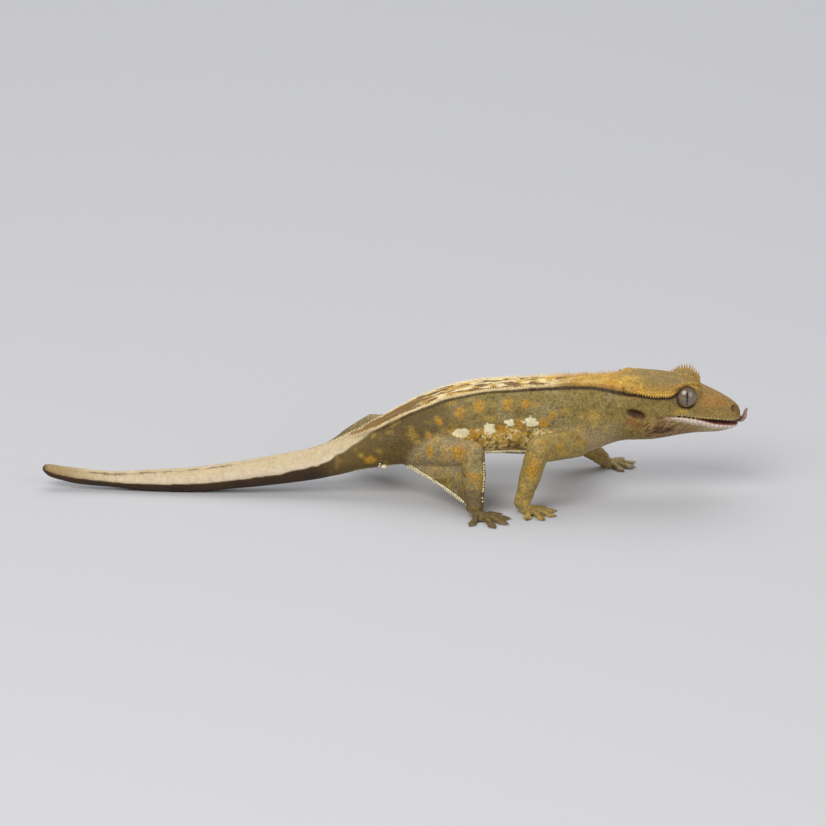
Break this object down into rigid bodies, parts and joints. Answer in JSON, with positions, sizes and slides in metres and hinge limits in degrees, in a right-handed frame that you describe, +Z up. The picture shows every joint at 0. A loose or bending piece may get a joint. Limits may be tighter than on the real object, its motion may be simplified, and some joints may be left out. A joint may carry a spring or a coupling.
{
  "type": "crested gecko",
  "caption": "Life-size crested gecko in mid stride, with a spiny brow crest, two crest rows along the back, padded toes, an open mouth and the tongue curled over the snout.",
  "frame": {"origin": "on the floor, at the middle of the animal's footprint box", "axes": "+X towards the snout, +Y to the animal's left, +Z up"},
  "size_m": [0.203, 0.0752, 0.0363],
  "materials": {
    "skin": "fine-grained scaly skin, olive grey with a cream and ochre back and a cream tail",
    "eye": "wet, glossy grey-pink eye with fine veins and an upright slit pupil",
    "tongue": "moist dull pink"
  },
  "bodies": {
    "root": {"tail_tip": "skin", "tail_end": "skin", "tail_middle": "skin", "tail_base": "skin", "pelvis": "skin", "torso": "skin", "chest": "skin", "neck": "skin", "head": "skin", "upper_arm_right": "skin", "forearm_right": "skin", "hand_right": "skin", "thigh_right": "skin", "shank_right": "skin", "foot_right": "skin", "upper_arm_left": "skin", "forearm_left": "skin", "hand_left": "skin", "thigh_left": "skin", "shank_left": "skin", "foot_left": "skin", "lower_jaw": "skin", "tongue": "tongue", "eye_left": "eye", "eye_right": "eye"}
  },
  "joints": []
}
